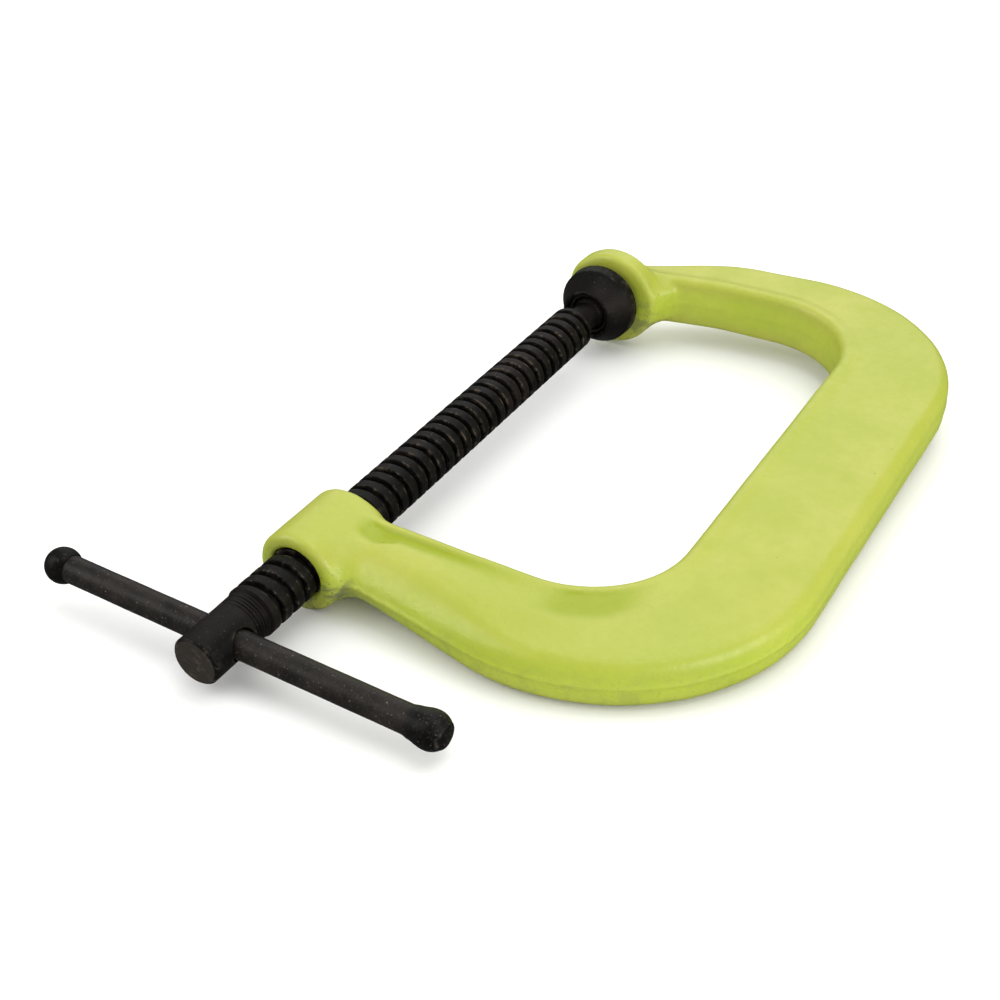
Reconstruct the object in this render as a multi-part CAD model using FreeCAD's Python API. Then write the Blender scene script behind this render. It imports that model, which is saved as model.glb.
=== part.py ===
"""Heavy-service C clamp, lying on its side.

Millimetres. The origin is the centre of the anvil's clamping face. +Y runs along the screw from the
handle towards the anvil, +X from the screw towards the frame's spine, and +Z is up, square to the
frame's plane. The jaws are drawn almost closed.
"""
import FreeCAD
import Part
import math
import os

# Screw: 11/16 in right-hand square-form thread
SCREW_D = 17.46
PITCH = 5.6
THREAD_DEPTH = 1.7
GROOVE_AT_CREST = 2.3
GROOVE_AT_ROOT = 1.7
THREAD_CLEARANCE = 0.3
# where a winding starts, round the axis from +X, clear of the turned surfaces' seams
WINDING_ANGLE = 140.0
# a groove crosses the screw's top line at this station
GROOVE_STATION = -166.1

# Stations along the screw, measured from the anvil face
JAW_GAP = 2.2
PAD_LENGTH = 14.5
THREAD_END = -28.0
BOSS_REAR = -174.2
BOSS_FRONT = -204.0
THREAD_START = -225.2
HANDLE_STATION = -237.7
HEAD_END = -250.6

# Screw head, neck and ball
HEAD_R = 8.05
HEAD_CHAMFER = 0.9
TURNING_MARKS = 6
TURNING_MARK_PITCH = 1.15
TURNING_MARK_DEPTH = 0.35
NECK_R = 5.5
BALL_R = 7.4
BALL_CENTRE = -11.2

# Frame casting
FRAME_HALF_THICKNESS = 10.0
THROAT = 101.6
SPINE_OUTER = 143.0
OUTER_EDGE_R = 4.5
INNER_EDGE_R = 3.0
BOSS_R = 14.0
BOSS_RIM_R = 1.8
BOSS_FILLET_R = 4.0
ANVIL_R = 19.0
# the disc sits a little towards the spine from the screw's axis
ANVIL_OFFSET = 1.8
ANVIL_THICKNESS = 8.5
ANVIL_RIM_R = 3.2
ANVIL_CONE_R = 9.0
ANVIL_CONE_BACK = 13.5
ANVIL_BACK = 15.0
BORE_MOUTH_CHAMFER = 0.6
# how far the chamfer runs on past the thread's outer diameter, so that it crosses it
BORE_MOUTH_OVERLAP = 0.3

# The casting's two edges as (x, y, corner radius), from the screw boss round to the anvil
OUTER_EDGE = [(0, -196.9, 0), (SPINE_OUTER, -220.1, 71.0), (SPINE_OUTER, 54.6, 65.5), (38, 40.3, 60.0),
              (-12, 9.0, 0)]
THROAT_EDGE = [(0, -177.2, 0), (THROAT, -175.5, 33.5), (THROAT, 19.8, 33.8), (42, 15.2, 70.0),
               (-12, 2.2, 0)]

# Swivel pad
PAD_FACE_R = 15.6
PAD_BAND_LENGTH = 5.6
PAD_MOUTH_R = 9.4
PAD_LIP_R = 8.3
SEAT_CLEARANCE = 0.2

# Retaining ring, a closed loop of spring wire behind the ball
RING_WIRE_R = 0.8
RING_R = 7.9
RING_STATION = BALL_CENTRE - 2.75
RING_GROOVE_R = 9.3
RING_GROOVE_HALF_WIDTH = 1.8

# Sliding handle
BAR_R = 4.43
BAR_HOLE_CLEARANCE = 0.7
BALL_END_R = 5.85
BALL_END_X = -63.3
BALL_END_SOCKET = 4.6
UPSET_HEAD_X = 72.0
UPSET_HEAD_R = 5.9
UPSET_HEAD_END = 77.2
UPSET_FILLET_R = 4.0

Y_AXIS = FreeCAD.Vector(0, 1, 0)
X_AXIS = FreeCAD.Vector(1, 0, 0)
ORIGIN = FreeCAD.Vector(0, 0, 0)


def vec(x, y, z=0.0):
    return FreeCAD.Vector(x, y, z)


def turned(points):
    """A solid of revolution about the Y axis, from (radius, station) points."""
    wire = Part.makePolygon([vec(r, y) for r, y in points + points[:1]])
    return Part.Face(wire).revolve(ORIGIN, Y_AXIS, 360)


def arc_points(centre_r, centre_y, radius, start, end, steps):
    """Points (radius, station) on an arc; angles in degrees from the radial direction."""
    angles = [math.radians(start + (end - start) * i / steps) for i in range(steps + 1)]
    return [(centre_r + radius * math.cos(a), centre_y + radius * math.sin(a)) for a in angles]


def along_screw(start, end, radius):
    """A cylinder on the screw's axis between two stations."""
    return Part.makeCylinder(radius, end - start, vec(0, start), Y_AXIS)


def helical_ridge(start, turns, inner_r, inner_width, outer_r, outer_width):
    """A right-hand ridge of trapezoidal section wound round the Y axis, swept turn by turn."""
    section = Part.makePolygon([
        vec(inner_r, 0, -inner_width / 2),
        vec(outer_r, 0, -outer_width / 2),
        vec(outer_r, 0, outer_width / 2),
        vec(inner_r, 0, inner_width / 2),
        vec(inner_r, 0, -inner_width / 2),
    ])
    path = []
    for i in range(turns):
        turn = Part.makeHelix(PITCH, PITCH, inner_r)
        turn.translate(vec(0, 0, i * PITCH))
        path += turn.Edges
    ridge = Part.Wire(path).makePipeShell([section], True, True)
    ridge.rotate(ORIGIN, X_AXIS, -90)
    ridge.rotate(ORIGIN, Y_AXIS, WINDING_ANGLE)
    ridge.translate(vec(0, start))
    return ridge


def cut_each(body, tools):
    for tool in tools:
        body = body.cut(tool)
    return body


def thread_start_near(station):
    """The winding's start nearest below a station, in phase with the groove on the top line."""
    phase = GROOVE_STATION - (270 - WINDING_ANGLE) / 360 * PITCH
    return phase + PITCH * math.floor((station - phase) / PITCH)


def rounded_path(corners):
    """An open wire through (x, y, radius) corners, each inner one rounded by a tangent arc."""
    edges = []
    last = vec(*corners[0][:2])
    for before, (x, y, r), after in zip(corners, corners[1:], corners[2:]):
        here = vec(x, y)
        back = (vec(*before[:2]) - here).normalize()
        ahead = (vec(*after[:2]) - here).normalize()
        half = back.getAngle(ahead) / 2
        reach = r / math.tan(half)
        middle = (back + ahead).normalize() * (r / math.sin(half) - r)
        edges.append(Part.LineSegment(last, here + back * reach).toShape())
        edges.append(Part.Arc(here + back * reach, here + middle, here + ahead * reach).toShape())
        last = here + ahead * reach
    edges.append(Part.LineSegment(last, vec(*corners[-1][:2])).toShape())
    return Part.Wire(edges)


def runs_along(edge, path):
    """Whether an edge of the plate's upper or lower face follows a path drawn in its plane."""
    middle = edge.valueAt((edge.FirstParameter + edge.LastParameter) / 2)
    middle.z = 0
    return edge.BoundBox.ZLength < 0.01 and Part.Vertex(middle).distToShape(path)[0] < 0.01


def frame_plate():
    """The C of the casting, with rounded edges on both faces."""
    outer = rounded_path(OUTER_EDGE)
    throat = rounded_path(THROAT_EDGE)
    ends = [Part.LineSegment(vec(*outer_end[:2]), vec(*throat_end[:2])).toShape()
            for outer_end, throat_end in ((OUTER_EDGE[0], THROAT_EDGE[0]), (OUTER_EDGE[-1], THROAT_EDGE[-1]))]
    outline = Part.Wire(Part.__sortEdges__(outer.Edges + throat.Edges + ends))
    outline.translate(vec(0, 0, -FRAME_HALF_THICKNESS))
    plate = Part.Face(outline).extrude(vec(0, 0, 2 * FRAME_HALF_THICKNESS))
    for path, radius in ((outer, OUTER_EDGE_R), (throat, INNER_EDGE_R)):
        plate = plate.makeFillet(radius, [edge for edge in plate.Edges if runs_along(edge, path)])
    return plate


def screw_boss():
    """The round boss that carries the screw."""
    boss = along_screw(BOSS_FRONT, BOSS_REAR, BOSS_R)
    rims = [edge for edge in boss.Edges if edge.Closed]
    return boss.makeFillet(BOSS_RIM_R, rims)


def anvil():
    """The fixed jaw: a round disc with a soft rim and a coned back."""
    back = ANVIL_THICKNESS
    rim = ANVIL_R - ANVIL_RIM_R
    front_arc = arc_points(rim, ANVIL_RIM_R, ANVIL_RIM_R, -90, 0, 6)
    back_arc = arc_points(rim, back - ANVIL_RIM_R, ANVIL_RIM_R, 0, 70, 5)
    disc = turned([(0, 0)] + front_arc + back_arc + [(ANVIL_CONE_R, ANVIL_CONE_BACK), (0, ANVIL_BACK)])
    disc.translate(vec(ANVIL_OFFSET, 0))
    return disc


def bore_mouth(station, inward):
    """The chamfer at one end of the boss; inward is 1 or -1, the way into the boss along Y."""
    wide = SCREW_D / 2 + THREAD_CLEARANCE + BORE_MOUTH_CHAMFER
    depth = BORE_MOUTH_CHAMFER + BORE_MOUTH_OVERLAP
    bottom = station + inward * depth
    return turned([(0, station - inward), (wide, station - inward), (wide, station),
                   (wide - depth, bottom), (0, bottom)])


def threaded_bore():
    """The space cut from the boss: the screw's own form, larger by the thread clearance."""
    root_r = SCREW_D / 2 - THREAD_DEPTH
    bore_r = root_r + THREAD_CLEARANCE
    outer_r = SCREW_D / 2 + THREAD_CLEARANCE
    crest_width = PITCH - GROOVE_AT_CREST + 2 * THREAD_CLEARANCE
    base_width = PITCH - GROOVE_AT_ROOT + 2 * THREAD_CLEARANCE
    start = thread_start_near(BOSS_FRONT) - 1.5 * PITCH
    turns = math.ceil((BOSS_REAR - BOSS_FRONT) / PITCH) + 3
    bore = along_screw(BOSS_FRONT - 1, BOSS_REAR + 1, bore_r)
    sunk = 0.4
    ridge = helical_ridge(start, turns, bore_r - sunk, base_width, outer_r, crest_width)
    return [bore, bore_mouth(BOSS_FRONT, 1), bore_mouth(BOSS_REAR, -1), ridge]


def on_boss_wall(point):
    """Whether a point lies on the boss's skin, on the spine's side."""
    radius = math.hypot(point.x, point.z)
    on_side = abs(radius - BOSS_R) < 0.02
    on_rim = radius < BOSS_R and (point.y - BOSS_FRONT < BOSS_RIM_R or BOSS_REAR - point.y < BOSS_RIM_R)
    return point.x > 2 and (on_side or on_rim)


def make_frame():
    """The casting: plate, boss and anvil in one, with a fillet where the arm meets the boss."""
    body = frame_plate().fuse([screw_boss(), anvil()]).removeSplitter()
    seam = []
    for edge in body.Edges:
        step = (edge.LastParameter - edge.FirstParameter) / 8
        if all(on_boss_wall(edge.valueAt(edge.FirstParameter + i * step)) for i in range(9)):
            seam.append(edge)
    body = body.makeFillet(BOSS_FILLET_R, seam)
    return cut_each(body, threaded_bore())


def screw_blank():
    """The turned screw before threading: head, fine turning marks, shank, neck and ball."""
    shank_r = SCREW_D / 2
    profile = [(0, HEAD_END), (HEAD_R - HEAD_CHAMFER, HEAD_END), (HEAD_R, HEAD_END + HEAD_CHAMFER)]
    marks_start = THREAD_START - TURNING_MARKS * TURNING_MARK_PITCH
    for i in range(TURNING_MARKS):
        y = marks_start + i * TURNING_MARK_PITCH
        profile += [(HEAD_R, y), (HEAD_R - TURNING_MARK_DEPTH, y + 0.3), (HEAD_R, y + 0.6)]
    profile += [(HEAD_R, THREAD_START - 0.6), (shank_r, THREAD_START + 0.3)]
    profile += [(shank_r, THREAD_END - 1.0), (shank_r - 1.0, THREAD_END), (NECK_R, THREAD_END)]
    neck_meets_ball = BALL_CENTRE - math.sqrt(BALL_R ** 2 - NECK_R ** 2) + 0.3
    profile += [(NECK_R, neck_meets_ball), (0, neck_meets_ball)]
    return turned(profile).fuse(Part.makeSphere(BALL_R, vec(0, BALL_CENTRE), Y_AXIS))


def make_spindle():
    root_r = SCREW_D / 2 - THREAD_DEPTH
    start = thread_start_near(THREAD_START)
    turns = math.ceil((THREAD_END - start) / PITCH) + 1
    slope = (GROOVE_AT_CREST - GROOVE_AT_ROOT) / THREAD_DEPTH
    overshoot = 0.6
    groove = helical_ridge(start, turns, root_r, GROOVE_AT_ROOT,
                           SCREW_D / 2 + overshoot, GROOVE_AT_CREST + slope * overshoot)
    cross_hole = Part.makeCylinder(BAR_R + BAR_HOLE_CLEARANCE, 4 * HEAD_R,
                                   vec(-2 * HEAD_R, HANDLE_STATION), X_AXIS)
    return cut_each(screw_blank(), [cross_hole, groove])


def make_swivel_pad():
    face = -JAW_GAP
    mouth = face - PAD_LENGTH
    band_end = face - PAD_BAND_LENGTH
    outside = [(0, face), (PAD_FACE_R - 0.8, face), (PAD_FACE_R, face - 0.8), (PAD_FACE_R - 0.3, band_end),
               (PAD_FACE_R - 1.1, band_end - 0.9), (PAD_MOUTH_R + 0.8, mouth + 0.5), (PAD_MOUTH_R, mouth)]
    seat_r = BALL_R + SEAT_CLEARANCE
    groove_front = RING_STATION + RING_GROOVE_HALF_WIDTH
    groove_back = RING_STATION - RING_GROOVE_HALF_WIDTH
    body = turned(outside + [(0, mouth)])
    socket = turned([(0, BALL_CENTRE), (seat_r, BALL_CENTRE), (seat_r, groove_front),
                     (RING_GROOVE_R, groove_front), (RING_GROOVE_R, groove_back), (PAD_LIP_R, groove_back),
                     (PAD_MOUTH_R, mouth), (PAD_MOUTH_R, mouth - 1), (0, mouth - 1)])
    return body.cut(socket).cut(Part.makeSphere(seat_r, vec(0, BALL_CENTRE), Y_AXIS))


def make_pad_retaining_ring():
    return Part.makeTorus(RING_R, RING_WIRE_R, vec(0, RING_STATION), Y_AXIS)


def along_bar(points):
    """A solid of revolution about the handle's axis, from (radius, x) points."""
    wire = Part.makePolygon([vec(x, HANDLE_STATION + r) for r, x in points + points[:1]])
    return Part.Face(wire).revolve(vec(0, HANDLE_STATION), X_AXIS, 360)


def make_handle_bar():
    """The bar, with its right end upset into a head after it has been passed through the screw."""
    head_start = UPSET_HEAD_X - math.sqrt(UPSET_HEAD_R ** 2 - (BAR_R + 0.5) ** 2)
    fillet = [(BAR_R, head_start - UPSET_FILLET_R), (BAR_R + 0.12, head_start - 1.6),
              (BAR_R + 0.5, head_start)]
    angle = math.degrees(math.asin((head_start - UPSET_HEAD_X) / UPSET_HEAD_R))
    end_angle = math.degrees(math.asin((UPSET_HEAD_END - UPSET_HEAD_X) / UPSET_HEAD_R))
    head = arc_points(0, UPSET_HEAD_X, UPSET_HEAD_R, angle, end_angle, 14)
    tail = BALL_END_X + BALL_END_SOCKET - BALL_END_R
    points = [(0, tail), (BAR_R - 0.5, tail), (BAR_R, tail + 0.5)] + fillet + head[1:] + [(0, UPSET_HEAD_END)]
    return along_bar(points)


def make_handle_ball():
    """The loose ball, bored for the bar's end and pressed on."""
    ball = Part.makeSphere(BALL_END_R, vec(BALL_END_X, HANDLE_STATION), X_AXIS)
    tail = BALL_END_X + BALL_END_SOCKET - BALL_END_R
    bore = Part.makeCylinder(BAR_R, 4 * BALL_END_R, vec(tail, HANDLE_STATION), X_AXIS)
    return ball.cut(bore)


PARTS = {
    "frame": make_frame,
    "spindle": make_spindle,
    "swivel_pad": make_swivel_pad,
    "pad_retaining_ring": make_pad_retaining_ring,
    "handle_bar": make_handle_bar,
    "handle_ball": make_handle_ball,
}


def main():
    os.makedirs("parts", exist_ok=True)
    for name, make in PARTS.items():
        shape = make()
        print(name, "valid", shape.isValid(), "solids", len(shape.Solids), "volume", round(shape.Volume))
        shape.exportStep(f"parts/{name}.step")


main()
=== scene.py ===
"""Heavy-service C clamp on a pale floor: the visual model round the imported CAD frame.

Shapes are worked out in millimetres, in the row frame: the origin is the centre of the anvil's
clamping face, +Y runs along the screw from the handle to the anvil, +X from the screw to the spine
and +Z is up, square to the frame's plane. Meshes are stored in metres.
"""
import bpy
import bmesh
import math
import numpy as np
from mathutils import Matrix, Vector


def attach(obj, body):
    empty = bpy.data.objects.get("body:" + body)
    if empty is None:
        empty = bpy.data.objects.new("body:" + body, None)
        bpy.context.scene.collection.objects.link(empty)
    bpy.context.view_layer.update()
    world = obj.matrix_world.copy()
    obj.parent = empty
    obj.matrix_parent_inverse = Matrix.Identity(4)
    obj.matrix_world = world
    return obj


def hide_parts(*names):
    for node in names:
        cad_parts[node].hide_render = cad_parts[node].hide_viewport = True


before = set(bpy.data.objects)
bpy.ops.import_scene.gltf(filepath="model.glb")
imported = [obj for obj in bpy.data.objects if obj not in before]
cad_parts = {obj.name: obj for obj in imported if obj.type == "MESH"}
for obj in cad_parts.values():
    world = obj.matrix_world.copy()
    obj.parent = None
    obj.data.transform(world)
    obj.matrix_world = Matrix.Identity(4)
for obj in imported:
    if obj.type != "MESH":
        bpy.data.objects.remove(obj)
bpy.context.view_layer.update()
MM = 0.001

# Screw and thread
SCREW_R = 8.73
PITCH = 5.6
THREAD_DEPTH = 1.7
THREAD_CLEARANCE = 0.3
GROOVE_STATION = -166.1
THREAD_END = -28.0
THREAD_START = -225.2
NECK_R = 5.5
BALL_R = 7.4
BALL_CENTRE = -11.2
HEAD_R = 8.05
HEAD_END = -250.6
HEAD_CHAMFER = 0.9
HANDLE_STATION = -237.7

# Pad and its retaining ring
PAD_FACE = -2.2
PAD_R = 15.6
SEAT_CLEARANCE = 0.2
RING_STATION = BALL_CENTRE - 2.75
RING_R = 7.9
RING_WIRE_R = 0.8
RING_GROOVE_HALF = 1.8

# Frame casting
RIM_HEIGHT = 10.2
RIM_RISE = 1.0
HOLLOW_DEPTH = 1.0
CROWN_DROP = 1.3
WALL_DRAFT = 0.065
OUTER_EDGE_R = 4.5
THROAT_EDGE_R = 2.6
UNEVENNESS = 0.09
BOSS_R = 14.0
BOSS_REAR = -174.2
BOSS_FRONT = -204.0
BOSS_RIM_R = 2.4
BOSS_DROP = 0.5
BORE_MOUTH_CHAMFER = 0.6
BOSS_BLEND = 8
ANVIL_R = 19.0
ANVIL_OFFSET = 1.8
ANVIL_THICKNESS = 8.5
ANVIL_RIM_R = 2.4
ANVIL_BLEND = 7
OUTER_OUTLINE = [(0, -196.9, 0), (143.1, -220.1, 71), (143.1, 54.6, 65.5), (37.7, 40.3, 60),
                 (-12, 9, 0), (-12, 0, 0)]
THROAT_OUTLINE = [(-40, -177.6, 0), (101.6, -175.5, 33.5), (101.6, 19.8, 33.8), (42, 15.2, 70),
                  (-40, -4.5, 0)]

# Handle
BAR_R = 4.43
BAR_HOLE_CLEARANCE = 0.7
UPSET_HEAD_CENTRE = 72.0
UPSET_HEAD_R = 5.9
UPSET_HEAD_END = 77.2
END_BALL_CENTRE = -63.3
END_BALL_R = 5.85
BAR_TAIL = END_BALL_CENTRE + 4.6 - END_BALL_R

# Stage: the floor's height under the origin, and its rise along X and Y
FLOOR_HEIGHT = -19.9
FLOOR_RISE = (0.0365, -0.0326)


# ---------------------------------------------------------------- distance fields

def smooth_step(low, high, value):
    """0 to 1 as the value goes from low to high, level at both ends."""
    t = np.clip((value - low) / (high - low), 0, 1)
    return t * t * (3 - 2 * t)


def smooth_min(a, b, reach):
    """Union of two solids with a soft blend of that reach."""
    h = np.clip(0.5 + 0.5 * (b - a) / reach, 0, 1)
    return b + (a - b) * h - reach * h * (1 - h)


def rounded_corner(a, b, r):
    """Intersection of two solids, with the edge between them rounded to radius r."""
    return np.minimum(np.maximum(a, b), -r) + np.hypot(np.maximum(a + r, 0), np.maximum(b + r, 0))


def outline_pieces(corners):
    """Straights and arcs of a closed counter-clockwise outline through (x, y, radius) corners."""
    joints = []
    for i, (x, y, r) in enumerate(corners):
        here = np.array((x, y), float)
        before = np.array(corners[i - 1][:2], float) - here
        after = np.array(corners[(i + 1) % len(corners)][:2], float) - here
        before /= np.linalg.norm(before)
        after /= np.linalg.norm(after)
        half = math.acos(np.dot(before, after)) / 2
        reach = r / math.tan(half)
        inward = (before + after) / np.linalg.norm(before + after)
        turn = 1 if before[1] * after[0] > before[0] * after[1] else -1
        joints.append((here + before * reach, here + inward * r / math.sin(half), -inward,
                       math.pi / 2 - half, r, here + after * reach, turn))
    pieces = []
    for i, (_, centre, toward, spread, r, last, turn) in enumerate(joints):
        if r:
            pieces.append(("arc", centre, toward, math.cos(spread), r, turn))
        pieces.append(("straight", last, joints[(i + 1) % len(joints)][0]))
    return pieces


def outline_distance(pieces, x, y):
    """Signed distance to an outline in the frame's plane, negative inside."""
    best = np.full(x.shape, 1e6)
    for piece in pieces:
        if piece[0] == "straight":
            start, end = piece[1:]
            along = end - start
            px = x - start[0]
            py = y - start[1]
            t = np.clip((px * along[0] + py * along[1]) / (along @ along), 0, 1)
            distance = np.hypot(px - t * along[0], py - t * along[1])
            distance = np.where(along[0] * py - along[1] * px > 0, -distance, distance)
        else:
            centre, toward, cosine, r, turn = piece[1:]
            px = x - centre[0]
            py = y - centre[1]
            radius = np.hypot(px, py)
            within = px * toward[0] + py * toward[1] >= radius * cosine
            distance = np.where(within, turn * (radius - r), 1e6)
        best = np.where(np.abs(distance) < np.abs(best), distance, best)
    return best


def from_groove(x, y, z):
    """Distance along the screw from the middle of the nearest turn of its groove."""
    angle = np.arctan2(z, x)
    station = GROOVE_STATION + PITCH * (0.25 - angle / (2 * math.pi))
    return (y - station + PITCH / 2) % PITCH - PITCH / 2


OUTER = outline_pieces(OUTER_OUTLINE)
INNER = outline_pieces(THROAT_OUTLINE)


def waviness(x, y, z):
    """Slow unevenness of a sand casting, within about one unit either way."""
    wave = 0
    for i, (length, weight) in enumerate(((46, 0.5), (31, 0.4), (17, 0.25), (9, 0.12))):
        k = 2 * math.pi / length
        wave = wave + weight * np.sin(k * x + 1.7 * i + 1.3 * np.sin(k * y * 0.7 + i)) * np.cos(
            k * y * 0.8 + 0.9 * i + np.sin(k * z + 2.1 * i))
    return wave


def arm_hollows(x, y, inner_edge):
    """The two shallow hollows in the near arm's flat, beside the boss and before the corner, 0 to 1."""
    rim = smooth_step(3.2, 5.4, inner_edge) * (y < -100)
    by_boss = smooth_step(9, 16, x) * (1 - smooth_step(26, 74, x))
    boss_width = 8.5 + 3.5 * (1 - smooth_step(18, 27, x))
    by_boss = by_boss * (1 - smooth_step(boss_width - 3.5, boss_width + 1, inner_edge))
    by_corner = smooth_step(70, 84, x) * (1 - smooth_step(92, 104, x))
    by_corner = by_corner * (1 - smooth_step(10.5, 17, inner_edge))
    return rim * np.maximum(by_boss, 0.75 * by_corner)


def casting(x, y, z):
    """Signed distance to the frame casting."""
    outer = outline_distance(OUTER, x + 0 * y, y + 0 * x)
    throat = -outline_distance(INNER, x + 0 * y, y + 0 * x)
    inner_edge = -throat
    near_side = 1 - smooth_step(-175, -105, y)
    height = RIM_HEIGHT - RIM_RISE * smooth_step(2.4, 9, inner_edge)
    height = height - HOLLOW_DEPTH * arm_hollows(x, y, inner_edge)
    high = np.abs(z)
    crown = near_side * (z > 0) * (1 - smooth_step(2, 15, -outer))
    lid = high - height + CROWN_DROP * crown
    ridge = (0.05 + 0.3 * near_side) * np.exp(-(z / 0.8) ** 2)
    slender = near_side * (1 - smooth_step(np.where(z > 0, 45, 15), np.where(z > 0, 90, 75), x))
    outer_draft = (WALL_DRAFT + 0.17 * slender * (z > 0)) * high
    outer_r = OUTER_EDGE_R + np.where(z > 0, 4.2, 4.5) * slender
    plate = np.maximum(rounded_corner(outer + outer_draft - ridge, lid, outer_r),
                       rounded_corner(throat + WALL_DRAFT * high - 0.4 * ridge, lid, THROAT_EDGE_R))
    rho = np.hypot(x, z)
    anvil_rho = np.hypot(x - ANVIL_OFFSET, z)
    boss_ends = np.maximum(BOSS_FRONT - y, y - BOSS_REAR)
    boss = rounded_corner(np.hypot(x, z + BOSS_DROP) - BOSS_R, boss_ends, BOSS_RIM_R)
    disc_faces = np.abs(y - ANVIL_THICKNESS / 2) - ANVIL_THICKNESS / 2
    disc = rounded_corner(anvil_rho - ANVIL_R, disc_faces, ANVIL_RIM_R)
    cone = np.maximum((anvil_rho - 16.9 + 1.52 * (y - 8.3)) / 1.82, y + anvil_rho / 6 - 15)
    cone = np.maximum(np.maximum(cone, anvil_rho - 15.5), 2 - y)
    anvil = smooth_min(disc, cone, 2)
    body = smooth_min(plate, boss, BOSS_BLEND)
    full_blend = (1 - smooth_step(5, 11, high)) * smooth_step(6, 16, x) * (1 - smooth_step(8, 16, y))
    body = smooth_min(body, anvil, ANVIL_BLEND + 8 * full_blend)
    body = body + UNEVENNESS * waviness(x, y, z)
    at_screw = x < 45
    body = np.maximum(body, np.where(at_screw & (y > -60) & (y < 10), -y, -1e3))
    body = np.maximum(body, np.where(at_screw & (y < -90) & (y > -185), y - BOSS_REAR, -1e3))
    t = np.abs(from_groove(x, y, z))
    bore = SCREW_R + THREAD_CLEARANCE - THREAD_DEPTH * (1 - smooth_step(0.45, 0.95, t))
    mouth = SCREW_R + THREAD_CLEARANCE + BORE_MOUTH_CHAMFER
    bore = np.maximum(bore, np.maximum(mouth - (y - BOSS_FRONT), mouth - (BOSS_REAR - y)))
    bore = np.where((y > BOSS_FRONT - 3) & (y < BOSS_REAR + 3), bore - rho, -1e3)
    return np.maximum(body, bore)


def graded(start, end, coarse, zones):
    """Grid lines from start to end, with finer steps inside (low, high, step) zones."""
    lines = [start]
    while lines[-1] < end:
        step = min([coarse] + [s for low, high, s in zones if low <= lines[-1] <= high])
        lines.append(lines[-1] + step)
    return np.array(lines)


def field_gradient(field, p, step=0.02):
    """Slope of a field at points, from differences along each axis."""
    rows = []
    for axis in range(3):
        shift = np.zeros(3)
        shift[axis] = step
        ahead = field(*(p + shift).T)
        behind = field(*(p - shift).T)
        rows.append((ahead - behind) / (2 * step))
    return np.stack(rows, 1)


def net_surface(field, xs, ys, zs):
    """Quads over the zero level of a field on a grid, with each corner moved onto the surface."""
    values = field(xs[:, None, None], ys[None, :, None], zs[None, None, :])
    inside = values < 0
    cells = tuple(n - 1 for n in inside.shape)
    corners = [(i, j, k) for i in (0, 1) for j in (0, 1) for k in (0, 1)]
    count = sum(inside[i:i + cells[0], j:j + cells[1], k:k + cells[2]].astype(np.int8)
                for i, j, k in corners)
    active = np.argwhere((count > 0) & (count < 8))
    index = np.full(cells, -1)
    index[tuple(active.T)] = np.arange(len(active))
    lines = (xs, ys, zs)
    total = np.zeros((len(active), 3))
    hits = np.zeros(len(active))
    for a in corners:
        for axis in range(3):
            if a[axis]:
                continue
            b = list(a)
            b[axis] = 1
            first = active + a
            second = active + b
            va = values[tuple(first.T)]
            vb = values[tuple(second.T)]
            crossed = (va < 0) != (vb < 0)
            t = np.where(crossed, va / np.where(crossed, va - vb, 1), 0)
            pa = np.stack([lines[i][first[:, i]] for i in range(3)], 1)
            pb = np.stack([lines[i][second[:, i]] for i in range(3)], 1)
            total += np.where(crossed[:, None], pa + (pb - pa) * t[:, None], 0)
            hits += crossed
    points = total / hits[:, None]
    for _ in range(3):
        slope = field_gradient(field, points)
        move = slope * (field(*points.T) / np.maximum((slope ** 2).sum(1), 0.3))[:, None]
        points -= np.clip(move, -0.4, 0.4)
    quads = []
    for axis in range(3):
        u, v = (axis + 1) % 3, (axis + 2) % 3
        low = [slice(None)] * 3
        high = [slice(None)] * 3
        low[axis] = slice(0, -1)
        high[axis] = slice(1, None)
        change = inside[tuple(low)] != inside[tuple(high)]
        edge = np.argwhere(change)
        edge = edge[(edge[:, u] > 0) & (edge[:, v] > 0) & (edge[:, u] < cells[u]) & (edge[:, v] < cells[v])]
        around = []
        for du, dv in ((-1, -1), (0, -1), (0, 0), (-1, 0)):
            cell = edge.copy()
            cell[:, u] += du
            cell[:, v] += dv
            around.append(index[tuple(cell.T)])
        quad = np.stack(around, 1)
        leaving = inside[tuple(edge.T)]
        quads.append(np.where(leaving[:, None], quad, quad[:, ::-1]))
    return points, np.concatenate(quads)


# ---------------------------------------------------------------- meshes

def add_piece(name, points, faces, body, material, nodes, sharp=35.0, attributes=None):
    """A piece from points in millimetres, riding on a body and standing for its CAD nodes."""
    mesh = bpy.data.meshes.new(name)
    mesh.from_pydata((np.asarray(points) * MM).tolist(), [], np.asarray(faces).tolist())
    set_attributes(mesh, attributes or {})
    weld(mesh)
    return place(name, mesh, body, material, nodes, sharp)


def set_attributes(mesh, attributes):
    """Stores one number per point under each name, for the materials to read."""
    for key, values in attributes.items():
        layer = mesh.attributes.new(key, "FLOAT", "POINT")
        layer.data.foreach_set("value", np.asarray(values, np.float32))


def place(name, mesh, body, material, nodes, sharp=35.0):
    """Puts a finished mesh in the scene, riding on its body."""
    mesh.shade_smooth()
    mesh.set_sharp_from_angle(angle=math.radians(sharp))
    piece = bpy.data.objects.new(name, mesh)
    bpy.context.scene.collection.objects.link(piece)
    mesh.materials.append(material)
    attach(piece, body)
    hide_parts(*nodes)
    return piece


def weld(mesh, distance=2e-6):
    """Joins points that coincide, drops faces that have closed up and turns the rest outwards."""
    made = bmesh.new()
    made.from_mesh(mesh)
    bmesh.ops.remove_doubles(made, verts=made.verts, dist=distance)
    bmesh.ops.dissolve_degenerate(made, dist=distance / 4, edges=made.edges)
    bmesh.ops.recalc_face_normals(made, faces=made.faces)
    made.to_mesh(mesh)
    made.free()


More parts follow.
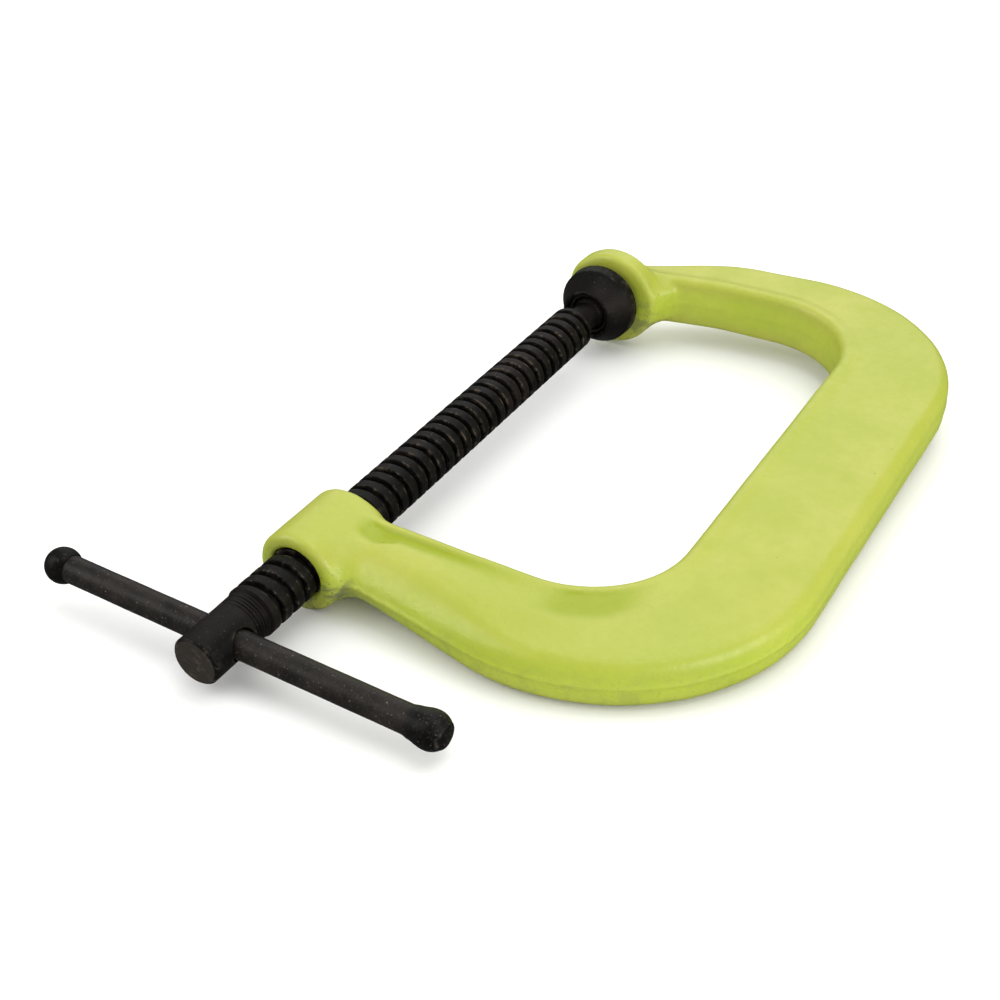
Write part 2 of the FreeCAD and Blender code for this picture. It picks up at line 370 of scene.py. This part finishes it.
def sheet_faces(rows, columns):
    """Quads between neighbouring rows of a rows by columns sheet of points."""
    i, j = np.meshgrid(np.arange(rows - 1), np.arange(columns - 1), indexing="ij")
    a = (i * columns + j).ravel()
    return np.stack([a, a + 1, a + columns + 1, a + columns], 1)


def lathe(profile, segments, along="y", centre=0.0):
    """Points and faces of a shape turned from (radius, station) pairs."""
    profile = np.array(profile, float)
    angle = np.linspace(0, 2 * math.pi, segments + 1)
    r = profile[:, :1] * np.ones_like(angle)
    s = profile[:, 1:] * np.ones_like(angle)
    if along == "y":
        points = np.stack([r * np.cos(angle), s, r * np.sin(angle)], 2)
    else:
        points = np.stack([s, centre + r * np.cos(angle), r * np.sin(angle)], 2)
    return points.reshape(-1, 3), sheet_faces(len(profile), segments + 1)


def arc(centre_r, centre_s, radius, start, end, steps):
    """Profile points along an arc; angles in degrees, 0 pointing outwards and 90 along the axis."""
    angles = np.radians(np.linspace(start, end, steps + 1))
    return [(centre_r + radius * math.cos(a), centre_s + radius * math.sin(a)) for a in angles]


def softened(profile, r, steps=3):
    """A (radius, station) profile with each inner corner rounded."""
    result = [profile[0]]
    for before, here, after in zip(profile, profile[1:], profile[2:]):
        here, before, after = (np.array(p, float) for p in (here, before, after))
        reach = min(r, np.linalg.norm(before - here) * 0.45, np.linalg.norm(after - here) * 0.45)
        a = here + (before - here) / np.linalg.norm(before - here) * reach
        b = here + (after - here) / np.linalg.norm(after - here) * reach
        for t in np.linspace(0, 1, steps + 1):
            result.append(tuple((1 - t) ** 2 * a + 2 * t * (1 - t) * here + t * t * b))
    result.append(profile[-1])
    return result


# ---------------------------------------------------------------- materials

class Nodes:
    """A node material under construction; coordinates are the piece's own, in metres."""

    def __init__(self, name):
        self.material = bpy.data.materials.new(name)
        self.material.use_nodes = True
        self.tree = self.material.node_tree
        self.shader = self.tree.nodes["Principled BSDF"]
        self.place = self.add("ShaderNodeTexCoord").outputs["Object"]

    def add(self, kind, **settings):
        node = self.tree.nodes.new(kind)
        for key, value in settings.items():
            setattr(node, key, value)
        return node

    def join(self, value, socket):
        if isinstance(value, bpy.types.NodeSocket):
            self.tree.links.new(value, socket)
        else:
            socket.default_value = value

    def noise(self, scale, detail=2.0, roughness=0.5, stretch=None, distortion=0.0):
        node = self.add("ShaderNodeTexNoise")
        node.inputs["Scale"].default_value = scale
        node.inputs["Detail"].default_value = detail
        node.inputs["Roughness"].default_value = roughness
        node.inputs["Distortion"].default_value = distortion
        self.join(self.stretched(stretch), node.inputs["Vector"])
        return node.outputs["Fac"]

    def stretched(self, stretch):
        if stretch is None:
            return self.place
        node = self.add("ShaderNodeMapping")
        node.inputs["Scale"].default_value = stretch
        self.join(self.place, node.inputs["Vector"])
        return node.outputs["Vector"]

    def specks(self, scale, size):
        """1 inside small round specks, 0 between them."""
        node = self.add("ShaderNodeTexVoronoi")
        node.inputs["Scale"].default_value = scale
        self.join(self.place, node.inputs["Vector"])
        return self.ramp(node.outputs["Distance"], size, size * 0.4)

    def ramp(self, value, low, high):
        """0 to 1 as the value goes from low to high."""
        node = self.add("ShaderNodeMapRange", interpolation_type="SMOOTHSTEP")
        self.join(value, node.inputs["Value"])
        node.inputs["From Min"].default_value = low
        node.inputs["From Max"].default_value = high
        return node.outputs["Result"]

    def maths(self, operation, a, b=0.0):
        node = self.add("ShaderNodeMath", operation=operation)
        self.join(a, node.inputs[0])
        self.join(b, node.inputs[1])
        return node.outputs[0]

    def mix(self, factor, a, b):
        node = self.add("ShaderNodeMix", data_type="RGBA")
        self.join(factor, node.inputs["Factor"])
        self.join(a, node.inputs["A"])
        self.join(b, node.inputs["B"])
        return node.outputs["Result"]

    def attribute(self, name):
        return self.add("ShaderNodeAttribute", attribute_name=name).outputs["Fac"]

    def bump(self, height, distance, below=None):
        node = self.add("ShaderNodeBump")
        node.inputs["Distance"].default_value = distance
        self.join(height, node.inputs["Height"])
        if below is not None:
            self.join(below, node.inputs["Normal"])
        return node.outputs["Normal"]

    def finish(self, colour, roughness, normal, **sockets):
        self.join(colour, self.shader.inputs["Base Color"])
        self.join(roughness, self.shader.inputs["Roughness"])
        self.join(normal, self.shader.inputs["Normal"])
        for name, value in sockets.items():
            self.join(value, self.shader.inputs[name.replace("_", " ")])
        return self.material


def colour(r, g, b):
    """An sRGB colour, 0 to 255, as a linear one."""
    return tuple(((c / 255 + 0.055) / 1.055) ** 2.4 if c > 10 else c / 3295 for c in (r, g, b)) + (1,)


def enamel_material():
    m = Nodes("green_enamel")
    broad = m.ramp(m.noise(38, 3), 0.3, 0.7)
    fine = m.ramp(m.noise(260, 3, 0.6), 0.3, 0.7)
    # Painted light: the side faces get a deeper, greener tone of shade and the flat faces a paler, yellower
    # tone of top light, blended by the flat attribute.
    shaded_wall_tone = m.mix(broad, colour(166, 182, 48), colour(177, 188, 62))
    lit_flat_tone = m.mix(broad, colour(160, 168, 52), colour(173, 175, 71))
    base = m.mix(m.attribute("flat"), shaded_wall_tone, lit_flat_tone)
    patches = m.ramp(m.noise(14, 2, distortion=0.4), 0.35, 0.7)
    base = m.mix(m.maths("MULTIPLY", patches, 0.45), base, colour(156, 169, 58))
    base = m.mix(m.maths("MULTIPLY", fine, 0.25), base, colour(154, 166, 46))
    # Painted shade: the arm's hollows are darkened and saturated as shade in the recess.
    base = m.mix(m.attribute("hollow_painted_shade"), base, colour(143, 157, 2))
    dirt = m.attribute("grime")
    uneven = m.maths("ADD", m.noise(120, 5, 0.65, distortion=0.6), m.maths("MULTIPLY", dirt, 0.12))
    smear = m.ramp(uneven, 0.52, 0.68)
    grit = m.maths("MULTIPLY", m.specks(760, 0.36), m.ramp(m.noise(260, 2), 0.36, 0.5))
    grime = m.maths("MULTIPLY", dirt, m.maths("MAXIMUM", smear, grit))
    base = m.mix(m.maths("MULTIPLY", grime, 0.8), base, colour(84, 86, 70))
    rare = m.ramp(m.noise(75, 2), 0.64, 0.70)
    dots = m.maths("MULTIPLY", m.specks(420, 0.16), rare)
    base = m.mix(m.maths("MULTIPLY", dots, 0.7), base, colour(70, 72, 46))
    roughness = m.maths("ADD", 0.36, m.maths("MULTIPLY", fine, 0.12))
    roughness = m.maths("ADD", roughness, m.maths("MULTIPLY", grime, 0.25))
    sand = m.bump(m.noise(420, 3, 0.55), 0.00022)
    peel = m.bump(m.noise(1500, 2, 0.5), 0.00005, sand)
    return m.finish(base, roughness, peel, Coat_Weight=0.12, Coat_Roughness=0.22)


def oxide_material(name, dark, pale, worn, wear_amount, shine, around=None):
    """Black oxide on steel: tinted patches, a fine tooth, and bright nicks where it wears."""
    m = Nodes(name)
    patches = m.ramp(m.noise(90, 4, 0.6), 0.35, 0.68)
    base = m.mix(patches, dark, pale)
    tint = m.ramp(m.noise(46, 2), 0.45, 0.7)
    base = m.mix(m.maths("MULTIPLY", tint, 0.35), base, colour(40, 30, 29))
    scratches = m.ramp(m.noise(700, 3, 0.6, stretch=around), 0.60, 0.74)
    nicks = m.ramp(m.noise(1300, 3, 0.65), 0.64, 0.72)
    # Painted light: the screw's end face is given a paler colour, standing for the light it catches.
    base = m.mix(m.attribute("end_face_painted_light"), base, colour(47, 43, 38))
    # Painted shade: the dark attribute blackens the screw's thread roots as shade in the groove; on the bar
    # it darkens the upset head.
    base = m.mix(m.attribute("dark"), base, colour(3, 3, 2))
    edge = m.attribute("wear")
    rub = m.maths("MULTIPLY", edge, m.ramp(m.noise(300, 4, 0.65), 0.50, 0.68))
    rub = m.maths("ADD", m.maths("MULTIPLY", rub, 0.8), m.maths("MULTIPLY", nicks, 0.35))
    rub = m.maths("ADD", rub, m.maths("MULTIPLY", scratches, 0.18))
    rub = m.maths("MINIMUM", m.maths("MULTIPLY", rub, wear_amount), 1.0)
    base = m.mix(rub, base, worn)
    roughness = m.maths("SUBTRACT", 0.40, m.maths("MULTIPLY", rub, 0.14))
    roughness = m.maths("ADD", roughness, m.maths("MULTIPLY", patches, 0.08))
    tooth = m.bump(m.noise(1400, 3, 0.6), 0.00006)
    turned = m.bump(m.noise(900, 2, 0.5, stretch=around), 0.00005, tooth)
    return m.finish(base, roughness, turned, Metallic=0.1, Specular_IOR_Level=shine)


def floor_material():
    m = Nodes("pale_floor")
    shade = m.ramp(m.noise(6, 3), 0.3, 0.7)
    base = m.mix(shade, colour(244, 244, 242), colour(247, 247, 246))
    return m.finish(base, 0.8, m.bump(m.noise(900, 2), 0.00005))


# ---------------------------------------------------------------- pieces

def frame_attributes(points):
    """Where painted shade darkens the arm's hollows, where the flat faces get a paler, yellower tone of
    painted top light than the side faces, and where dirt gathers.
    """
    x, y, z = points.T
    inner_edge = outline_distance(INNER, x, y)
    # The hollows' mask carries painted shade for the enamel's colour.
    hollow_painted_shade = arm_hollows(x, y, inner_edge)
    low = 1 - smooth_step(-3, 8, z)
    near_side = 1 - smooth_step(-175, -120, y)
    rho = np.hypot(x, z)
    at_boss = (1 - smooth_step(-202.5, -195, y)) * smooth_step(-4, 5, x) * (1 - smooth_step(14, 26, x)) * low
    at_anvil = (1 - smooth_step(9, 16, y)) * smooth_step(10, 17, rho) * (1 - smooth_step(20, 25, x)) * (
        y > -20) * smooth_step(-4, 8, x) * low * 0.6
    outer_wall = smooth_step(-2.5, 0.5, outline_distance(OUTER, x, y)) * low * (0.05 + 0.2 * near_side)
    grime = np.clip(np.maximum(np.maximum(at_boss, at_anvil), outer_wall), 0, 1)
    # The flat attribute sets how much painted top light the enamel gets, by how much a face looks up or
    # down.
    flat = smooth_step(2.5, 9.0, np.abs(z))
    return {"hollow_painted_shade": np.clip(1.6 * hollow_painted_shade, 0, 1) * (z > 0), "flat": flat, "grime": grime}


def make_frame():
    xs = graded(-21.5, 145.5, 1.25, [(-21.5, 21.5, 0.62)])
    ys = graded(-211, 48, 1.25, [(-206, -171, 0.62), (-2, 16, 0.8)])
    zs = graded(-21.5, 21.5, 0.9, [(-1.3, 1.3, 0.45), (-11, -7, 0.7), (7, 11, 0.7)])
    points, quads = net_surface(casting, xs, ys, zs)
    add_piece("frame_casting", points, quads, "frame_body", enamel_material(), ["frame"],
              sharp=42, attributes=frame_attributes(points))


def groove_profile(t):
    """Height over the thread's root, 0 to 1, at a distance from the groove's middle."""
    distances = (0.62, 0.85, 0.96, 1.08, 1.17, 1.32, 1.6)
    return np.interp(np.abs(t), distances, (0, 0.05, 0.35, 0.8, 0.93, 0.985, 1))


def threaded_rows(segments):
    """The screw's threaded length, as rows of points that follow the helix."""
    steps = np.array((-2.2, -1.6, -1.32, -1.17, -1.02, -0.85, 0, 0.85, 1.02, 1.17, 1.32, 1.6))
    first = math.floor((THREAD_START - GROOVE_STATION) / PITCH) - 2
    last = math.ceil((THREAD_END - GROOVE_STATION) / PITCH) + 2
    along = (GROOVE_STATION + PITCH * np.arange(first, last)[:, None] + steps).ravel()
    angle = np.linspace(0, 2 * math.pi, segments + 1)
    y = along[:, None] + PITCH * (0.25 - angle / (2 * math.pi))
    y = np.clip(y, THREAD_START, THREAD_END)
    x, z = np.cos(angle) + 0 * y, np.sin(angle) + 0 * y
    t = from_groove(x, y, z)
    cut = (1 - groove_profile(t)) * smooth_step(THREAD_START + 0.4, THREAD_START + 3.6, y)
    lead_in = 0.35 * smooth_step(THREAD_END - 0.5, THREAD_END, y)
    r = SCREW_R - np.maximum(THREAD_DEPTH * cut, lead_in)
    return np.stack([x * r, y, z * r], 2).reshape(-1, 3), len(along)


def hole_cutter(segments=72):
    """The cross hole's space, flared to round its mouths where they meet the turned head."""
    r = BAR_R + BAR_HOLE_CLEARANCE
    angle = np.linspace(0, 2 * math.pi, segments + 1)
    rows = []
    for spread, drop in ((0, 0.5), (0.05, 0.3), (0.16, 0.13), (0.36, -0.03), (0.5, -2.5)):
        wide = r + spread
        edge = np.sqrt(HEAD_R ** 2 - (wide * np.sin(angle)) ** 2) - drop
        rows.append(np.stack([edge, HANDLE_STATION + wide * np.cos(angle), wide * np.sin(angle)], 1))
    tip = np.tile((14.0, HANDLE_STATION, 0.0), (segments + 1, 1))
    half = rows + [tip]
    mirrored = [row * (-1, 1, 1) for row in reversed(half)]
    points = np.concatenate(mirrored + half)
    mesh = bpy.data.meshes.new("hole")
    mesh.from_pydata((points * MM).tolist(), [], sheet_faces(2 * len(half), segments + 1).tolist())
    weld(mesh)
    return mesh


def head_profile():
    """The screw's head with its fine turning marks, from the axis to where the thread starts."""
    profile = [(0, HEAD_END), (HEAD_R - HEAD_CHAMFER, HEAD_END), (HEAD_R, HEAD_END + HEAD_CHAMFER)]
    profile = softened(profile + [(HEAD_R, HEAD_END + 4)], 0.25)
    profile += [(HEAD_R, y) for y in (-244, -240.8, -237.7, -234.6, -232.4)]
    for i, depth in enumerate((0.30, 0.46, 0.34, 0.50, 0.32, 0.44)):
        y = THREAD_START - 6.9 + 1.15 * i
        profile += [(HEAD_R + 0.03, y), (HEAD_R - 0.8 * depth, y + 0.16), (HEAD_R - depth, y + 0.32),
                    (HEAD_R - 0.8 * depth, y + 0.48), (HEAD_R + 0.05, y + 0.7), (HEAD_R + 0.07, y + 0.95)]
    return profile + [(HEAD_R, THREAD_START - 0.5), (SCREW_R - 0.15, THREAD_START - 0.1),
                      (SCREW_R, THREAD_START)]


def subtract(mesh, tool):
    """The mesh with the tool's space cut away."""
    pair = [bpy.data.objects.new("cut", m) for m in (mesh, tool)]
    for o in pair:
        bpy.context.scene.collection.objects.link(o)
    cut = pair[0].modifiers.new("cut", "BOOLEAN")
    cut.operation = "DIFFERENCE"
    cut.solver = "EXACT"
    cut.object = pair[1]
    bpy.context.view_layer.update()
    result = bpy.data.meshes.new_from_object(pair[0].evaluated_get(bpy.context.evaluated_depsgraph_get()))
    for o in pair:
        bpy.data.objects.remove(o)
    return result


def spindle_attributes(points):
    """Rubbed edges, which are the thread's crests and two rims, the end face, lightened as painted light,
    and the roots, darkened as painted shade.
    """
    x, y, z = points.T
    rho = np.hypot(x, z)
    threaded = (y > THREAD_START + 2) & (y < THREAD_END) & (rho > SCREW_R - 0.9)
    crests = np.exp(-((np.abs(from_groove(x, y, z)) - 1.3) / 0.22) ** 2) * threaded
    head_rim = np.exp(-((y - HEAD_END - 0.5) / 0.5) ** 2) * 0.9
    from_hole = np.hypot(y - HANDLE_STATION, z) - BAR_R - BAR_HOLE_CLEARANCE
    hole_rim = np.exp(-(from_hole / 0.5) ** 2) * (rho > 7.5) * 0.7
    along_thread = (y > THREAD_START) * (y < THREAD_END - 0.6)
    # Painted shade in the thread's roots, darker towards the bottom of the groove.
    root = (1 - smooth_step(SCREW_R - 1.3, SCREW_R - 0.4, rho)) * along_thread
    # The end face's mask carries painted light for the screw's colour.
    return {"wear": np.maximum(crests, np.maximum(head_rim, hole_rim)), "end_face_painted_light": (y < HEAD_END + 0.1) * 1.0,
            "dark": root}


def make_spindle(material):
    segments = 72
    points, faces = lathe(head_profile() + [(0, THREAD_START)], segments)
    head = bpy.data.meshes.new("head")
    head.from_pydata((points * MM).tolist(), [], faces.tolist())
    weld(head)
    head = subtract(head, hole_cutter())
    threaded, rows = threaded_rows(segments)
    meets_ball = math.degrees(math.acos(NECK_R / BALL_R))
    tail = [(SCREW_R - THREAD_DEPTH - 0.1, THREAD_END), (NECK_R + 0.5, THREAD_END),
            (NECK_R + 0.12, THREAD_END + 0.2), (NECK_R, THREAD_END + 0.6), (NECK_R, THREAD_END + 6)]
    tail += arc(0, BALL_CENTRE, BALL_R, -meets_ball, 90, 24)
    tail_points, _ = lathe(tail, segments)
    along = np.concatenate([threaded, tail_points])
    made = bmesh.new()
    mesh = bpy.data.meshes.new("spindle_screw")
    mesh.from_pydata((along * MM).tolist(), [], sheet_faces(rows + len(tail), segments + 1).tolist())
    made.from_mesh(mesh)
    before = len(made.faces)
    made.from_mesh(head)
    made.faces.ensure_lookup_table()
    joint = THREAD_START * MM - 1e-6
    caps = [f for f in made.faces[before:] if all(v.co.y > joint for v in f.verts)]
    bmesh.ops.delete(made, geom=caps, context="FACES")
    made.to_mesh(mesh)
    made.free()
    weld(mesh)
    set_attributes(mesh, spindle_attributes(np.array([v.co for v in mesh.vertices]) / MM))
    place("spindle_screw", mesh, "spindle_body", material, ["spindle"], 38)


def make_pad(material):
    """The swivel pad: face, band, cone and mouth, then the ring's groove and the ball's seat inside."""
    seat_r = BALL_R + SEAT_CLEARANCE
    groove_front = RING_STATION + RING_GROOVE_HALF
    groove_back = RING_STATION - RING_GROOVE_HALF
    outside = softened([(0, PAD_FACE), (14.8, PAD_FACE), (PAD_R, -3.0), (15.3, -7.8), (14.5, -8.7),
                        (10.2, -16.2), (9.4, -16.7), (8.3, groove_back), (9.3, groove_back),
                        (9.3, groove_front), (seat_r, groove_front), (seat_r, BALL_CENTRE)], 0.45)
    rows = [outside[0], (7, PAD_FACE), (12, PAD_FACE)] + outside[1:-1]
    rows += arc(0, BALL_CENTRE, seat_r, 0, 90, 16)
    points, faces = lathe(rows, 96)
    rho = np.hypot(points[:, 0], points[:, 2])
    worn = 0.35 * np.exp(-((rho - 15.5) / 0.35) ** 2)
    worn += 0.25 * np.exp(-(np.hypot(rho - 9.6, points[:, 1] + 16.6) / 0.5) ** 2)
    add_piece("swivel_pad_cup", points, faces, "swivel_pad_body", material,
              ["swivel_pad"], attributes={"wear": np.clip(worn, 0, 1)})


def make_ring(material):
    """The pad's retaining ring: one turn of round spring wire."""
    points, faces = lathe([(RING_R + RING_WIRE_R * math.cos(a), RING_STATION + RING_WIRE_R * math.sin(a))
                           for a in np.linspace(0, 2 * math.pi, 15)], 72)
    add_piece("retaining_ring", points, faces, "pad_ring_body", material,
              ["pad_retaining_ring"])


def bar_profile():
    """The bar, a little uneven, from its end inside the ball to its upset head."""
    rows = [(0, BAR_TAIL), (BAR_R - 0.5, BAR_TAIL), (BAR_R, BAR_TAIL + 0.5)]
    rows += [(BAR_R + 0.015 * math.sin(0.31 * x) + 0.01 * math.sin(1.7 * x), x)
             for x in np.arange(-62, 62, 2.0)]
    rows += [(BAR_R + 0.02, 63.6), (BAR_R + 0.08, 64.6), (BAR_R + 0.26, 65.3), (BAR_R + 0.5, 66.2),
             (BAR_R + 0.66, 67.4), (BAR_R + 0.86, 68.3), (BAR_R + 1.13, 69.3), (BAR_R + 1.34, 70.3),
             (BAR_R + 1.44, 71.2)]
    rows += arc(0, UPSET_HEAD_CENTRE, UPSET_HEAD_R, 0, 42, 8)
    return rows + [(4.1, 76.45), (3.75, 76.75), (3.4, 76.9), (2.6, 77.12), (0, UPSET_HEAD_END)]


def make_handle(bar_material, ball_material):
    points, faces = lathe(bar_profile(), 64, "x", HANDLE_STATION)
    r = np.hypot(points[:, 1] - HANDLE_STATION, points[:, 2])
    # Wear and painted highlight: pale nicks round the rim of the upset head's end flat, also standing for
    # the lit edge there.
    worn = np.exp(-(np.hypot(points[:, 0] - 76.4, r - 4.5) / 0.4) ** 2) * 0.5
    scale = 0.95 * smooth_step(63, 68, points[:, 0])
    add_piece("handle_bar_rod", points, faces, "handle_body", bar_material,
              ["handle_bar"], attributes={"wear": worn, "dark": scale})
    bore = BAR_R + 0.01
    shoulder = math.degrees(math.asin(3.3 / END_BALL_R))
    rows = [(0, BAR_TAIL - 0.02), (bore, BAR_TAIL - 0.02), (bore, END_BALL_CENTRE + 3.35),
            (4.55, END_BALL_CENTRE + 3.5), (4.75, END_BALL_CENTRE + 3.45)]
    rows += arc(0, END_BALL_CENTRE, END_BALL_R, shoulder, -90, 24)
    points, faces = lathe(rows, 64, "x", HANDLE_STATION)
    add_piece("handle_end_ball", points, faces, "handle_body", ball_material,
              ["handle_ball"], attributes={"wear": np.zeros(len(points))})


make_frame()
screw_steel = oxide_material("screw_black_oxide", colour(7, 7, 6), colour(14, 13, 11), colour(124, 110, 94),
                             0.6, 0.15, around=(1.0, 14.0, 1.0))
bar_steel = oxide_material("bar_black_oxide", colour(22, 20, 18), colour(41, 36, 31), colour(132, 120, 110),
                           1.8, 0.25, around=(14.0, 1.0, 1.0))
ball_steel = oxide_material("ball_black_oxide", colour(8, 8, 7), colour(16, 15, 13), colour(110, 100, 90),
                            0.8, 0.14)
pad_steel = oxide_material("pad_black_oxide", colour(8, 8, 6), colour(16, 15, 12), colour(104, 97, 88),
                           0.8, 0.13, around=(1.0, 12.0, 1.0))
wire_steel = oxide_material("spring_wire", colour(26, 25, 22), colour(40, 38, 34), colour(120, 114, 106),
                            0.5, 0.25)
make_spindle(screw_steel)
make_pad(pad_steel)
make_ring(wire_steel)
make_handle(bar_steel, ball_steel)


# ---------------------------------------------------------------- stage

def add_floor():
    """A pale table, tipped as the clamp sees it: it lies on its anvil, its boss and its outer corner."""
    size = 4000
    steps = 24
    line = np.linspace(-size, size, steps + 1)
    x, y = np.meshgrid(line, line, indexing="ij")
    z = FLOOR_HEIGHT + FLOOR_RISE[0] * x + FLOOR_RISE[1] * y
    mesh = bpy.data.meshes.new("floor")
    points = np.stack([x, y, z], 2).reshape(-1, 3) * MM
    mesh.from_pydata(points.tolist(), [], sheet_faces(steps + 1, steps + 1).tolist())
    floor = bpy.data.objects.new("floor", mesh)
    mesh.materials.append(floor_material())
    bpy.context.scene.collection.objects.link(floor)
    floor.visible_glossy = False


def add_light(name, location, target, size, power, tint=(1, 1, 1)):
    light = bpy.data.lights.new(name, "AREA")
    light.shape = "RECTANGLE"
    light.size, light.size_y = size
    light.energy = power
    light.color = tint
    lamp = bpy.data.objects.new(name, light)
    lamp.location = location
    lamp.rotation_euler = (Vector(target) - Vector(location)).to_track_quat("-Z", "Y").to_euler()
    lamp.visible_camera = False
    bpy.context.scene.collection.objects.link(lamp)


def add_camera():
    azimuth, elevation, roll = (math.radians(a) for a in (30.93, 36.53, 0.15))
    back = Vector((math.sin(azimuth) * math.cos(elevation), -math.cos(azimuth) * math.cos(elevation),
                   math.sin(elevation)))
    level = Vector((math.cos(azimuth), math.sin(azimuth), 0))
    upright = back.cross(level)
    right = math.cos(roll) * level + math.sin(roll) * upright
    up = -math.sin(roll) * level + math.cos(roll) * upright
    data = bpy.data.cameras.new("camera")
    data.lens = 51.72
    data.sensor_width = 36
    data.clip_start = 0.01
    camera = bpy.data.objects.new("camera", data)
    camera.matrix_world = Matrix.Translation((0.2281, -0.4630, 0.2796)) @ Matrix(
        (right, up, back)).transposed().to_4x4()
    bpy.context.scene.collection.objects.link(camera)
    bpy.context.scene.camera = camera


def add_surroundings():
    """An even white studio: bright all round for diffuse light, with a lit backdrop to reflect."""
    world = bpy.data.worlds.new("studio")
    world.use_nodes = True
    tree = world.node_tree
    sky = tree.nodes["Background"]
    sky.inputs["Color"].default_value = (1, 1, 1, 1)
    dim = tree.nodes.new("ShaderNodeMapRange")
    dim.inputs["To Min"].default_value = 0.85
    dim.inputs["To Max"].default_value = 0.12
    tree.links.new(tree.nodes.new("ShaderNodeLightPath").outputs["Is Glossy Ray"], dim.inputs["Value"])
    tree.links.new(dim.outputs["Result"], sky.inputs["Strength"])
    bpy.context.scene.world = world
    bpy.context.scene.view_settings.view_transform = "Standard"
    add_light("overhead_softbox", (0.15, 0.15, 1.1), (0.05, -0.1, 0), (1.2, 1.0), 6.4)
    add_light("side_softbox", (-0.9, -0.8, 0.7), (0.05, -0.1, 0), (0.8, 0.8), 6)
    add_light("far_side_softbox", (1.4, -0.3, 0.45), (0.05, -0.1, 0), (1.0, 0.8), 10)
    add_light("backdrop", (-0.75, 1.5, 1.0), (0.05, -0.1, 0), (2.4, 1.3), 11)


add_floor()
add_camera()
add_surroundings()
